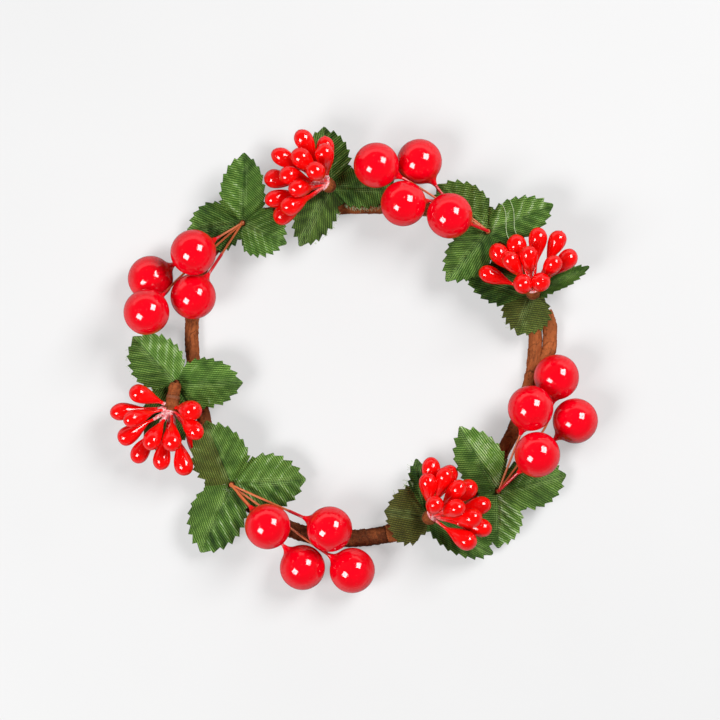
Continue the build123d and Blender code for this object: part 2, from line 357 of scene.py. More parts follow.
lap_pitch = 0.0062
lap_step = 0.00016
lap_edge = 0.06
lap_wander = 0.6
wander_grain = 0.32
crease_depth = 0.00016
creases_round = 2.6
crease_twist = 0.35
crease_sharpness = 3.2
crepe_stretch = 0.16
paper_grain = 2.3


def tape_surface(radius, seed, pitch=lap_pitch, ends=(1.0, 1.0), length=1.0, tone=0.5):
    """Crepe tape wound in a spiral: each lap ends in a step, and the paper is creased."""
    def surface(along, turn):
        spot = Vector((cos(tau * turn), sin(tau * turn), 0)) * (radius / millimetre)
        spot.z = along / millimetre + seed * 31
        lap = along / pitch + turn + lap_wander * noise.noise(spot * wander_grain)
        share = lap % 1
        step = share if share > lap_edge else 1 - share / lap_edge
        angle = tau * (turn + along / pitch * crease_twist)
        lines = Vector((cos(angle), sin(angle), 0)) * creases_round
        lines.z = along / millimetre * crepe_stretch + seed * 17
        creases = 0.9 - abs(noise.noise(lines)) * crease_sharpness
        creases += 0.5 * noise.noise(spot * paper_grain)
        thickening = ends[0] + (ends[1] - ends[0]) * min(1, along / length)
        reach = radius * thickening + lap_step * (step - 0.75) + crease_depth * creases
        return reach, Vector((cos(tau * lap), sin(tau * lap), tone))
    return surface


tape_sides = 44
tape_step = 0.00017
underside = 0.00003


def fitted(name, build, material, body, replaced=None):
    """A piece that moves with a body, wears a given finish and takes a CAD node's place."""
    made = piece(name, build, material)
    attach(made, body)
    if replaced:
        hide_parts(replaced)
    return made


def taped(name, path, surface, replaced=None, sides=tape_sides):
    """A taped stretch along a path, flat where it lies on the table."""
    build = bmesh.new()
    skin(build, path, sides, surface)
    for vertex in build.verts:
        vertex.co.z = max(vertex.co.z, underside)
    fitted(name, build, tape_look, "root", replaced)


tape_look, shader, value = finish("crepe_tape")
lap = (value.maths("ARCTAN2", value.mark("lap", 1), value.mark("lap")) / tau).past_whole()
# Painted shade along the step at each lap's edge: dark just past the step, half as dark just
# before it.
lap_step_shade = 1 - lap.between(0.01, 0.08) + lap.between(0.94, 1.0) * 0.5
stretched = value.node("ShaderNodeVectorMath", {"operation": "MULTIPLY"},
                       {0: value.marks("run"), 1: (crepe_stretch, 1.0, 1.0)})
streaks = value.speckle(1.9, 4.0, 0.6, stretched)
hairs = value.speckle(7.0, 2.0, 0.5, stretched)
blotch = value.speckle(300.0, 4.0, 0.65)
grain = value.speckle(3600.0, 3.0, 0.6)
dots = value.speckle(1500.0, 1.0).between(0.68, 0.74)
# The tape's tone: random blotches and each stretch's listed lightness, which on the bottom stretch
# is partly painted shade cast by the berries.
tape_tone_and_shade = (blotch.between(0.3, 0.72) * 0.6 + value.mark("lap", 2) * 0.9 - 0.25).clamped()
brown = tape_tone_and_shade.tinted(srgb(86, 40, 17), srgb(176, 96, 50))
brown = ((1 - streaks.between(0.36, 0.47)) * 0.6).tinted(brown, srgb(66, 29, 11))
# Painted shade along each lap's step.
brown = (lap_step_shade * 0.6).clamped().tinted(brown, srgb(48, 22, 10))
brown = (hairs.between(0.5, 0.75) * 0.4).tinted(brown, srgb(192, 114, 62))
brown = (dots * 0.6).tinted(brown, srgb(48, 26, 14))
feed(shader, Base_Color=brown, Roughness=0.62 + 0.2 * grain, Specular_IOR_Level=0.15,
     Normal=value.bumped(streaks * 1.4 + hairs * 0.5 + grain * 0.3, 0.00016))

stem_radius = 0.0018
thick_stem_radius = 0.0023
thick_lap_pitch = 0.0026
# Each stretch, from the right on round the ring: its tape's thickness at either end, as shares of
# the usual, and how light the tape is; the bottom stretch is darkest, partly for its own dark
# twisted creases and partly as painted shade cast by the berries.
stems = {
    "upper_right_stem": ((1.0, 1.0), 0.5),
    "top_stem": ((1.0, 1.0), 0.45),
    "upper_left_stem": ((1.0, 1.0), 0.5),
    "left_stem": ((1.0, 1.0), 0.5),
    "lower_left_stem": ((1.0, 1.15), 0.45),
    "bottom_stem": ((0.88, 1.04), -0.05),
    "lower_right_stem": ((1.1, 1.0), 0.4),
    "right_stem": ((1.0, 1.0), 0.75),
}
picks = list(ring_places)
for number, (name, (ends, tone)) in enumerate(stems.items()):
    path = ring_path(picks[number], picks[(number + 1) % len(picks)], tape_step)
    radius, pitch = stem_radius, lap_pitch
    if name == "bottom_stem":
        radius, pitch = thick_stem_radius, thick_lap_pitch
    taped(name + "_tape", path,
          tape_surface(radius, number + 1, pitch, ends, length_of(path), tone), name)


# The loose roll. On the thick stretch the tape's last turns were not smoothed down, so they stand
# up in a roll of their own, glued only where the tape ends.

roll_length = 0.0118
roll_before_end = 0.0012
roll_pitch = 0.0036
roll_radius = thick_stem_radius * 1.07
roll_rounding = 0.0009
roll_first_step, roll_last_step = 0.0004, 0.0007


def eased(share):
    share = min(1, max(0, share))
    return share * share * (3 - 2 * share)


def shaped(surface, change):
    """The same surface with change(along) added to its radius."""
    def changed(along, turn):
        reach, mark = surface(along, turn)
        return reach + change(along), mark
    return changed


path = ring_path("bottom_berry", "bottom_stamen", tape_step)
last = len(path) - round(roll_before_end / tape_step)
roll = path[last - round(roll_length / tape_step):last]
whole = length_of(roll)
taped("bottom_stem_tape_end", roll, shaped(
    tape_surface(roll_radius, 33, roll_pitch, tone=0.75),
    lambda along: (roll_first_step * (eased(along / roll_rounding) - 1)
                   + roll_last_step * (eased((whole - along) / roll_rounding) - 1))))


# The overlap. The ring closes where the wire's loose end, taped too, lies beside its start on
# the right; it thins out under the leaf above and where the two strands join below.

tail_radius = 0.0019
tail_pitch = 0.0075
tail_clearance = 0.00005
tail_bow = 0.0002
tail_start_share, tail_end_share = 0.7, 0.92
tail_run_on = 0.3
tail_joining = 0.42
thin_tail_radius = 0.0006


def tail_fullness(share):
    """1 where the tail stands clear of the ring, 0 where its tape runs into the ring's."""
    return eased((share + tail_run_on) / tail_joining) * (1 - 0.28 * eased((share - 0.6) / 0.5))


beside_tail = ring_path("right_berry", "right_stamen", 0.0002)
first = round(tail_start_share * (len(beside_tail) - 1))
last = round(tail_end_share * (len(beside_tail) - 1))
tail_path = []
tail_radii = []
for index in range(first - round(tail_run_on * (last - first)), last + 1):
    share = (index - first) / (last - first)
    full = tail_fullness(share)
    ahead = (beside_tail[index + 1] - beside_tail[index - 1]).normalized()
    apart = stem_radius + tail_radius + tail_clearance + tail_bow * sin(pi * max(0, share))
    apart = apart * full + stem_radius * 0.5 * (1 - full)
    tail_path.append(beside_tail[index] + Vector((ahead.y, -ahead.x, 0)) * apart)
    tail_radii.append(tail_radius * full + thin_tail_radius * (1 - full))
whole = length_of(tail_path)


def tail_swell(along):
    place = min(len(tail_radii) - 1, round(along / whole * (len(tail_radii) - 1)))
    return tail_radii[place] - tail_radius


taped("overlap_tail_wrap", tail_path,
      shaped(tape_surface(tail_radius, 20, tail_pitch, tone=0.8), tail_swell),
      "overlap_tail_tape", 40)


# The bare wire. The iron wire itself runs inside the tape from end to end, and shows only where
# the ring is cut open.

wire_look, shader, value = finish("iron_wire")
rust = value.speckle(2400.0, 3.0)
feed(shader, Base_Color=rust.tinted(srgb(120, 118, 114), srgb(150, 146, 140)), Metallic=1.0,
     Roughness=0.35 + 0.2 * rust)
for name in ("ring_core_wire", "overlap_tail_wire"):
    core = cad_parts[name]
    core.data.materials.clear()
    core.data.materials.append(wire_look)


# The pick stems. The wires of each pick are taped flat to the ring, and turn up beside it, in
# tape of their own, through the eye of the pick's leaf.

pick_radius = 0.0013
pick_lap_pitch = 0.0036
pick_reach = 0.0055
pick_elbow = 0.0018
pick_stand = 0.0005
bundle_radius = 0.0007
pick_narrowing = 0.0012
hub_heights = {"berry": 0.0045, "stamen": 0.0041}
leaf_thickness = 0.0004
# How far each stem leans from the ring, along it and outwards, in shares of the reach.
leans = {
    "right_stamen": (0.18, 0),
    "top_berry": (0, 0),
    "top_stamen": (0, 1.0),
    "left_berry": (0, 0),
    "left_stamen": (-0.15, 0.9),
    "bottom_berry": (0, 0),
    "bottom_stamen": (0, -0.15),
    "right_berry": (-0.5, 0.8),
}


def placed(pick, along, outward, up):
    """A place in a pick's own directions, measured from the ring below its leaf's eye."""
    lean_along, lean_outward = leans[pick]
    ahead = turned(heading_angle(pick))
    out = Vector((ahead.y, -ahead.x, 0))
    return (ring_point(pick) + ahead * (along + lean_along * pick_reach)
            + out * (outward + lean_outward * pick_reach) + Vector((0, 0, up)))


def hub_height(pick):
    return hub_heights[pick.split("_")[1]]


def pick_top(pick):
    return hub_height(pick) + leaf_thickness + pick_stand


def curve(start, corner, end, share):
    """A place on the curve that leaves start towards a corner and reaches end from it."""
    return start * (1 - share) ** 2 + corner * (2 * share * (1 - share)) + end * share ** 2


def rounded(points, radius, step):
    """A path through points with its corners rounded."""
    path = [points[0]]
    for before, corner, after in zip(points, points[1:], points[2:]):
        back, on = before - corner, after - corner
        handle = min(radius, back.length * 0.48, on.length * 0.48)
        start, end = corner + back.normalized() * handle, corner + on.normalized() * handle
        path += [curve(start, corner, end, index / 12) for index in range(13)]
    path.append(points[-1])
    even = [path[0]]
    for a, b in zip(path, path[1:]):
        count = max(1, round((b - a).length / step))
        even += [a.lerp(b, (index + 1) / count) for index in range(count)]
    return even


for number, pick in enumerate(picks):
    start = ring_point(pick) + Vector((0, 0, wire_height))
    foot = placed(pick, 0, 0, wire_height)
    top = placed(pick, 0, 0, pick_top(pick))
    points = [start, foot, top] if (foot - start).length > pick_elbow else [foot, top]
    path = rounded(points, pick_elbow, 0.0002)
    below_leaf = length_of(path) - leaf_thickness - pick_stand
    taped(pick + "_stem_tape", path, shaped(
        tape_surface(pick_radius, number + 40, pick_lap_pitch),
        lambda along: (bundle_radius - pick_radius) * eased(
            1 - (below_leaf - along) / pick_narrowing)), pick + "_pick_stem", 36)


# The leaves. Each is one trefoil of green polyester cloth, stamped with saw-toothed edges,
# pressed midribs and side veins, and pushed up the pick's stem through the eye in its middle.

lobe_length = 0.0195
lobe_width = 0.0141
lobe_base_share = 0.05
lobe_round_share = 0.54
tip_narrowing = 0.12
tooth_depth = 0.0008
tooth_depths = (0.6, 1.25)
teeth_a_side = 9
tooth_slant = 0.82
tooth_point = 0.2
eye_radius = 0.00085
cloth_thickness = 0.00018
# For each lobe: its bearing from the pick's heading, its shares of the usual length and width, and
# how far it rises and how far its halves fold up, all angles in degrees.
lobes = {
    "top_berry": [(-11, 0.93, 1, -3, 4), (-126, 0.95, 0.9, 12, 24), (82, 0.9, 0.9, 14, 18)],
    "left_berry": [(-119, 0.95, 1, 12, 32), (-20, 0.75, 1, 0, 6), (128, 0.65, 1, 10, 10)],
    "right_berry": [(66, 1.08, 0.95, 22, 8), (-144, 0.78, 0.95, -5, 10), (-42, 0.95, 1, -3, 5)],
    "bottom_berry": [(165, 0.95, 1.12, 18, 12), (58, 1, 1.12, 2, 4), (-60, 1, 1.1, 2, 6)],
    "top_stamen": [(-88, 0.8, 0.95, 10, 15), (175, 0.95, 0.8, -3, 5), (61, 0.9, 0.85, 10, 15)],
    "right_stamen": [(64, 0.95, 0.9, 8, 20), (-75, 0.84, 0.62, 10, 58), (151, 0.6, 1, 10, 10)],
    "left_stamen": [(-147, 0.85, 1.05, 10, 10), (80, 0.9, 1.0, 10, 15), (-25, 1, 1, -6, 6)],
    "bottom_stamen": [(146, 0.6, 1.2, 10, 12), (76, 0.8, 0.58, 5, 6), (-56, 1, 0.86, 0, 36)],
}
# For each lobe's left and right half, looking out from the eye: the bearing of the cloth's ribs,
# how much painted light it shows for the way it catches the lamps (-1 to 1), how olive it is dyed,
# and the depth of its pleats.
halves = {
    "top_berry": [((-8, 0, 0.1, 0.7), (-8, 0.15, 0.2, 0.6)), ((6, 0.45, 0, 1), (14, -0.3, 0, 1)),
        ((62, -0.4, 0, 0.7), (6, -0.25, 0.15, 0.7))],
    "left_berry": [((-16, 0.45, 0, 0.8), (-38, 0, 0, 0.5)),
        ((-28, -0.4, 0, 0.7), (-24, -0.2, 0, 0.7)),
        ((-24, 0.25, 0, 0.8), (-27, 0.35, 0, 0.9))],
    "right_berry": [((-2, -0.35, 0, 0.3), (-52, 1.0, 0, 0.2)),
        ((-27, 1.0, 0.1, 1.3), (-4, 0.1, 0, 0.2)),
        ((-32, 0.1, 0, 0.8), (-30, 0.1, 0.1, 0.8))],
    "bottom_berry": [((110, 0, 0.7, 0.6), (118, 0.3, 0.1, 0.6)),
        ((122, 0.35, 0.1, 0.7), (120, -0.05, 0, 1.5)),
        ((124, -0.1, 0, 1.6), (110, 0.15, 0.1, 0.2))],
    "top_stamen": [((80, 0, 0, 0.6), (38, -0.1, 0, 1.2)),
        ((104, -0.25, 0, 0.6), (100, -0.1, 0, 0.7)),
        ((92, -0.8, 0.2, 0.8), (84, -0.5, 0.2, 0.7))],
    "right_stamen": [((-14, -0.6, 0, 0.6), (-18, -0.5, 0, 0.6)),
        ((-8, -0.1, 0, 0.5), (50, -0.3, 0, 0.5)),
        ((-10, -0.4, 0.6, 0.5), (5, -0.3, 0.7, 0.5))],
    "left_stamen": [((-10, -0.05, 0.1, 0.9), (-50, 0.65, 0, 0.7)),
        ((-4, 0.05, 0, 0.4), (-5, 0.1, 0.1, 0.5)),
        ((60, -0.4, 0, 0.6), (60, -0.4, 0, 0.6))],
    "bottom_stamen": [((-12, -0.3, 0.9, 0.3), (-8, -0.2, 0.9, 0.3)),
        ((0, -0.6, 0, 0.4), (90, -0.6, 0, 0.4)),
        ((-30, -0.25, 0, 0.3), (-28, -0.5, 0, 0.5))],
}
web_reach = 0.0035
web_reaches = {"right_berry": 0.0055, "bottom_berry": 0.0072}
pleat_depth = 0.0005
pleat_sharpness = 1.4
pleats_a_side = 5.5
vein_slope = 1 / tan(radians(48))
midrib_half = 0.0005
midrib_depth = 0.00028
midrib_start, midrib_run_in = 0.001, 0.002
pleat_start, pleat_run_in = 0.001, 0.003
fold_ease = 0.0005
lobe_arch = 0.0005
ripple_height = 0.00028
ripples = 2.2
valley_blend = radians(13)
spoke_spacing = 0.0006
rings_a_leaf = 40


def half_width(share, width):
    spread = lobe_base_share + (1 - lobe_base_share) * share
    round_off = (4 * spread * (1 - spread)) ** lobe_round_share
    return width / 2 * round_off * (1 - tip_narrowing * share ** 6)


def toothed_edge(length, width, teeth):
    """The corners of one side of a lobe, from beside the eye to the tip, as (x, y)."""
    steps = 300
    outline = [Vector((length * step / steps, half_width(step / steps, width)))
               for step in range(steps + 1)]
    whole = length_of(outline)
    spots = []
    run = 0.0
    for a, b in zip(outline, outline[1:]):
        ahead = (b - a).normalized()
        while len(spots) < 2 * teeth_a_side:
            tooth, pointed = divmod(len(spots), 2)
            wanted = (tooth + tooth_slant * pointed) / teeth_a_side * whole
            if wanted > run + (b - a).length:
                break
            spots.append((a + ahead * (wanted - run), Vector((-ahead.y, ahead.x))))
        run += (b - a).length
    corners = []
    for (notch, notch_out), (point, point_out) in zip(spots[::2], spots[1::2]):
        cut = tooth_depth * teeth.uniform(*tooth_depths)
        corners += [tuple(notch - notch_out * cut), tuple(point + point_out * tooth_point * cut)]
    corners[0] = (0.0, corners[0][1])
    corners.append((length + 0.4 * tooth_depth, 0.0))
    return corners


def edge_reach(corners, angle):
    """How far a toothed edge is from the eye at an angle from the midrib."""
    for (ax, ay), (bx, by) in zip(corners, corners[1:]):
        if atan2(by, bx) <= angle <= atan2(ay, ax) + 1e-9:
            cross = cos(angle) * (by - ay) - sin(angle) * (bx - ax)
            if abs(cross) > 1e-12:
                return (ax * by - ay * bx) / cross
    return 0.0


def wrapped(angle):
    return (angle + pi) % tau - pi


class Lobe:
    """One lobe of a trefoil: its outline, its looks and how the flat cloth is bent in space."""

    def __init__(self, shares, looks, teeth):
        turn, length_share, width_share, rise, fold = shares
        self.turn, self.rise, self.fold = radians(turn), radians(rise), radians(fold)
        self.length = lobe_length * length_share
        self.width = lobe_width * width_share
        self.looks = looks
        self.sides = [toothed_edge(self.length, self.width, teeth) for _ in range(2)]
        self.curl = teeth.uniform(0.3, 1.0) * millimetre
        self.ripple = teeth.uniform(0, 1)

    def reach(self, angle):
        """How far the outline is from the eye at an angle round the leaf."""
        beside = wrapped(angle - self.turn)
        if abs(beside) > pi / 2:
            return 0.0
        return edge_reach(self.sides[0 if beside >= 0 else 1], abs(beside))

    def veins_at(self, ahead, beside):
        """How many side veins lie between the eye and a place beside the midrib."""
        return (ahead - abs(beside) * vein_slope) / self.length * pleats_a_side

    def bent(self, x, y):
        """Where a place on the flat cloth, along and beside the midrib, goes in space."""
        left = y >= 0
        beside = abs(y)
        share = x / self.length
        eased_side = sqrt(beside ** 2 + fold_ease ** 2) - fold_ease
        lift = sin(self.fold) * eased_side
        level = cos(self.fold) * beside + (1 - cos(self.fold)) * (beside - eased_side)
        pleat = (1 - abs(2 * (self.veins_at(x, y) % 1) - 1)) ** pleat_sharpness - 0.5
        fade = eased(beside / 0.0014) * (1 - 0.4 * share)
        fade *= eased((x - pleat_start) / pleat_run_in)
        lift += pleat_depth * self.looks[0 if left else 1][3] * pleat * fade
        groove = exp(-(beside / midrib_half) ** 2)
        banks = exp(-((beside - midrib_half * 1.3) / (midrib_half * 0.5)) ** 2)
        lift += (banks * 0.6 - groove) * midrib_depth * eased((x - midrib_start) / midrib_run_in)
        lift += lobe_arch * sin(pi * min(1, max(0, share))) - self.curl * max(0, share) ** 2
        wave = sin(tau * (share * ripples + self.ripple + (0 if left else 0.4)))
        lift += ripple_height * wave * (beside / (lobe_width / 2)) ** 2
        place = Vector((x * cos(self.rise) - lift * sin(self.rise), level if left else -level,
                        x * sin(self.rise) + lift * cos(self.rise)))
        return Matrix.Rotation(self.turn, 3, "Z") @ place


def valley_between(lobe, after):
    """The angle at which two neighbouring lobes' outlines cross."""
    steps = 400
    gap = (after.turn - lobe.turn) % tau

    def apart(step):
        angle = lobe.turn + gap * step / steps
        near, far = lobe.reach(angle), after.reach(angle)
        return abs(near - far) if near > 0 and far > 0 else 1

    return lobe.turn + gap * min(range(1, steps), key=apart) / steps


def leaf_spokes(parts, valleys):
    """Angles round the leaf, each with its lobe: at every tooth's corners, and evenly between."""
    spokes = []
    for index, lobe in enumerate(parts):
        low = -abs(wrapped(lobe.turn - valleys[index - 1]))
        high = abs(wrapped(valleys[index] - lobe.turn))
        corners = [sign * atan2(y, x) for sign, side in ((-1, 1), (1, 0))
                   for x, y in lobe.sides[side][:-1]]
        inside = [angle for angle in corners if low + 0.01 < angle < high - 0.01]
        marks = sorted([low, 0.0] + inside) + [high]
        for a, b in zip(marks, marks[1:]):
            near, far = lobe.reach(lobe.turn + a), lobe.reach(lobe.turn + b)
            apart = hypot(near * cos(a) - far * cos(b), near * sin(a) - far * sin(b))
            count = max(1, round(apart / spoke_spacing))
            spokes += [(lobe.turn + a + (b - a) * step / count, index) for step in range(count)]
    return spokes


def leaf_cloth(parts, web, heading):
    """The leaf's mesh in its pick's directions, with the marks that its weave, dye, painted light
    and veins are drawn by.
    """
    valleys = [valley_between(lobe, parts[(index + 1) % len(parts)])
               for index, lobe in enumerate(parts)]
    spokes = leaf_spokes(parts, valleys)
    build = bmesh.new()
    weave, shade, vein = (build.loops.layers.float_vector.new(name)
                          for name in ("weave", "shade", "vein"))
    columns = []
    for angle, index in spokes:
        lobe = parts[index]
        outer = max(lobe.reach(angle), web)
        to_valley, neighbour = min((wrapped(angle - valleys[index - 1]), index - 1),
                                   (wrapped(valleys[index] - angle), (index + 1) % len(parts)))
        blends = [(lobe, 1.0)]
        if to_valley < valley_blend:
            share = 0.5 - 0.5 * eased(to_valley / valley_blend)
            blends = [(lobe, 1 - share), (parts[neighbour], share)]
        column = []
        for ring in range(rings_a_leaf + 1):
            reach = eye_radius + (outer - eye_radius) * ring / rings_a_leaf
            place = Vector((0, 0, 0))
            for part, share in blends:
                beside = wrapped(angle - part.turn)
                place += part.bent(reach * cos(beside), reach * sin(beside)) * share
            column.append((build.verts.new(place), reach * cos(angle), reach * sin(angle)))
        columns.append(column)
    for (angle, index), near, far in zip(spokes, columns, columns[1:] + columns[:1]):
        lobe = parts[index]
        left = wrapped(angle - lobe.turn) >= -1e-6
        bearing, *marks = lobe.looks[0 if left else 1]
        to_ribs = Matrix.Rotation(radians(heading - bearing), 2)
        to_midrib = Matrix.Rotation(-lobe.turn, 2)
        for ring in range(rings_a_leaf):
            corners = (near[ring], near[ring + 1], far[ring + 1], far[ring])
            face = build.faces.new([corner[0] for corner in corners])
            for loop, (_, x, y) in zip(face.loops, corners):
                loop[weave] = (to_ribs @ Vector((x, y)) / millimetre).to_3d()
                loop[shade] = marks
                ahead, beside = to_midrib @ Vector((x, y))
                loop[vein] = (beside / millimetre, lobe.veins_at(ahead, beside), 0)
    return build


def flat_pattern(parts, web):
    """A leaf's area, by the shoelace rule round its flat outline, with its width and length."""
    steps = 1440
    outline = []
    for step in range(steps):
        angle = tau * step / steps
        reach = max(web, *(lobe.reach(angle) for lobe in parts))
        outline.append(Vector((reach * cos(angle), reach * sin(angle))))
    area = sum(a.x * b.y - a.y * b.x for a, b in zip(outline, outline[1:] + outline[:1])) / 2
    wide = max(p.x for p in outline) - min(p.x for p in outline)
    long = max(p.y for p in outline) - min(p.y for p in outline)
    return area - pi * eye_radius ** 2, wide, long


rib_spacing = 0.57
thread_spacing = 0.44
cloth_look, shader, value = finish("leaf_cloth")
threads, crossing = value.mark("weave"), value.mark("weave", 1)
shades, olive, pleated = (value.mark("shade", number) for number in range(3))
beside, vein_place = value.mark("vein").size(), value.mark("vein", 1)
light_patch = value.speckle(170.0, 3.0, 0.6)
drift = value.speckle(600.0, 2.0)
worn = value.speckle(330.0, 2.0).between(0.36, 0.62)
flecks = value.speckle(900.0, 3.0, 0.7)
midrib = 1 - (beside - 0.05).between(0.0, 0.3)
rib_lines = (beside / 0.47 + 0.2).wave() ** 2 * (1 - beside.between(0.8, 1.7)) * worn
crest = 1 - ((vein_place + (drift - 0.5) * 0.35).past_whole() - 0.5).size() * 2
ribs = (crossing / rib_spacing + drift * 0.7).wave()
weft = (threads / thread_spacing + crossing / rib_spacing * 0.5).wave()
# lit is painted light and shade: each half's listed lightness, noise patches of painted light, and
# pleat crests painted lighter than their hollows; green and light green below are its shaded and
# lit colours.
lit = (shades * 0.42 + light_patch * 1.3 - 0.22 + (crest - 0.5) * pleated * 0.35).clamped()
green = lit.tinted(srgb(13, 36, 3), srgb(54, 102, 18))
green = (olive * 0.85).tinted(green, srgb(48, 40, 8))
light_green = lit.tinted(srgb(58, 96, 24), srgb(164, 206, 100))
light_green = (olive * 0.85).tinted(light_green, srgb(116, 104, 42))
thread_light = (ribs ** 1.2 * (weft * 0.7 + 0.35) * (worn * 0.45 + 0.65)).clamped()
cloth = thread_light.tinted(green, light_green)
# Painted sheen: a whitish highlight on the threads where the painted light is high, in flecks and
# on pleat crests.
painted_sheen = (lit - 0.66) * 1.5 + (flecks - 0.5) * 1.4 + (crest - 0.62) * pleated * 0.9
cloth = (painted_sheen.between(0.1, 0.8) * thread_light * 0.8).clamped().tinted(cloth, srgb(212, 226, 190))
cloth = (rib_lines * 0.4).tinted(cloth, srgb(160, 190, 118))
# Painted shade darkens the midrib's pressed groove.
cloth = (midrib * 0.3).tinted(cloth, srgb(22, 44, 10))
feed(shader, Base_Color=cloth, Roughness=0.6 + 0.2 * ribs, Specular_IOR_Level=0.22,
     Normal=value.bumped(ribs * 0.7 + weft * 0.3, 0.00014))

fibre_look, shader, value = finish("frayed_fibre")
dye = value.speckle(1200.0, 2.0)
feed(shader, Base_Color=dye.tinted(srgb(128, 160, 96), srgb(200, 214, 180)),
     Roughness=0.5 + 0.2 * dye)
fibre_radius = 0.000038


def even_thread(radius):
    return lambda along, turn: (radius, Vector((0, 0, 0)))


def fibre(build, start, lean, length, shaker):
    """Adds one loose fibre that leaves a point of the cloth and curls at random."""
    curl = Vector([shaker.uniform(-0.5, 0.5) for _ in range(3)]) * length
    points = [start + lean * (length * share) + curl * share ** 2
              for share in (step / 5 for step in range(6))]
    skin(build, points, 5, even_thread(fibre_radius))


def leaf_seat(pick):
    """The turn and shift that put a leaf on its pick's stem."""
    hub = placed(pick, 0, 0, hub_height(pick) + leaf_thickness / 2)
    return Matrix.Translation(hub) @ Matrix.Rotation(radians(heading_angle(pick)), 4, "Z")


def lobe_at(parts, bearing):
    return min(parts, key=lambda part: abs(part.turn - radians(bearing)))


# How many fibres stand up round each leaf's eye, and the edges that have frayed: the lobe, its
# side, where the fray starts and ends along the lobe, its fibres and their length.
eye_frays = {"bottom_berry": 34, "left_berry": 8, "right_berry": 14, "top_berry": 5}
edge_frays = {
    "top_stamen": [(1, 1, 0.2, 0.95, 90, 0.0009), (2, 0, 0.3, 0.9, 50, 0.0006)],
    "bottom_stamen": [(0, 1, 0.45, 0.9, 14, 0.0014), (1, 0, 0.6, 0.98, 10, 0.0011)],
    "right_stamen": [(2, 1, 0.75, 0.97, 10, 0.0008)],
    "left_stamen": [(0, 0, 0.5, 0.95, 12, 0.0008)],
}
trefoils = {}
for number, pick in enumerate(picks):
    seed = 100 + number
    teeth = random.Random(seed)
    parts = [Lobe(shares, looks, teeth) for shares, looks in zip(lobes[pick], halves[pick])]
    parts.sort(key=lambda lobe: lobe.turn)
    trefoils[pick] = parts
    web = web_reaches.get(pick, web_reach)
    area, wide, long = flat_pattern(parts, web)
    build = leaf_cloth(parts, web, heading_angle(pick))
    build.transform(leaf_seat(pick))
    leaf = fitted(pick + "_cloth_leaf", build, cloth_look, "root", pick + "_leaf")
    thick = leaf.modifiers.new("thickness", "SOLIDIFY")
    thick.thickness = cloth_thickness
    thick.offset = 0
    pick + "_stem_tape"

    shaker = random.Random(seed + 50)
    build = bmesh.new()
    for _ in range(eye_frays.get(pick, 0)):
        angle = shaker.uniform(0, 360)
        start = turned(angle) * (eye_radius * shaker.uniform(0.9, 2.0)) + Vector((0, 0, 0.0001))
        lean = turned(angle + shaker.uniform(-80, 80), shaker.uniform(5, 40))
        fibre(build, start, lean, shaker.uniform(0.0005, 0.0013), shaker)
    for lobe_number, side, near, far, count, length in edge_frays.get(pick, ()):
        lobe = lobe_at(parts, lobes[pick][lobe_number][0])
        for _ in range(count):
            x = lobe.length * shaker.uniform(near, far)
            y = half_width(x / lobe.length, lobe.width) * (1 if side == 0 else -1)
            start = lobe.bent(x, y * shaker.uniform(0.9, 1))
            lean = (lobe.bent(x + 0.0003, y * 1.2) - start).normalized()
            fibre(build, start, lean, length * shaker.uniform(0.4, 1), shaker)
    if build.verts:
        build.transform(leaf_seat(pick))
        fitted(pick + "_leaf_fray", build, fibre_look, "root")
    else:
        build.free()


# The glue strings. Hot glue drew out into two fine strings when the pick at the top right was
# fixed, and they lie across a lobe of its leaf, stuck to the cloth.

string_radius = 0.0001
seat = leaf_seat("top_berry")
lobe = lobe_at(trefoils["top_berry"], -126)
build = bmesh.new()
for at_left, at_right in ((0.36, 0.24), (0.48, 0.37)):
    points = []
    for step in range(25):
        share = step / 24
        x = lobe.length * (at_left + (at_right - at_left) * share + 0.02 * sin(share * 7))
        y = half_width(x / lobe.length, lobe.width) * (0.95 - 1.85 * share)
        points.append(seat @ (lobe.bent(x, y) + Vector((0, 0, 2 * string_radius))))
    skin(build, points, 7, even_thread(string_radius))
fitted("top_berry_leaf_glue_strings", build, fibre_look, "root")


# The berries. Each is a foam ball on a wire, dipped in red lacquer that runs down into a short
# neck on the wire and dries to a high gloss.

berry_radius = 0.006
berry_diameter = 2 * berry_radius
berry_neck_end = 0.0076
berry_neck_tip = 0.00052
neck_pull = 0.0016
pivot_gap = 0.0003
knot_radius = 0.001
# Each berry's middle and the bend in its wire, if it has one: how far along its pick's heading,
# outwards and up, in berry diameters.
berry_places = {
    "top": [((2.85, -0.1, 0.95), (2.0, 0, 0.75)), ((2.1, 0.5, 0.52), (1.3, 0.15, 0.55)),
            ((1.9, -0.5, 1.0), (1.35, -0.05, 0.65)), ((0.9, -0.2, 1.15), None)],
    "left": [((1.23, -0.13, 1.2), None), ((2.36, -0.17, 0.52), None),
             ((1.69, -0.97, 0.8), (1.05, -0.6, 0.6)), ((2.73, -0.83, 1.25), (1.8, -0.45, 0.62))],
    "right": [((2.8, -0.4, 0.6), (1.85, 0.05, 0.57)), ((1.9, -0.5, 1.05), None),
              ((2.25, 0.5, 0.55), (1.15, 0.25, 0.55)), ((1.15, 0.2, 1.1), None)],
    "bottom": [((1.2, -0.15, 1.1), None), ((2.05, -1.2, 0.9), None), ((2.4, -0.2, 0.52), None),
               ((3.1, -1.05, 0.52), (2.0, -0.65, 0.6))],
}


def sprig_place(side, place):
    return placed(side + "_berry", *(share * berry_diameter for share in place))


def sprig_pivot(side):
    pick = side + "_berry"
    return placed(pick, 0, 0, pick_top(pick) + pivot_gap + knot_radius)


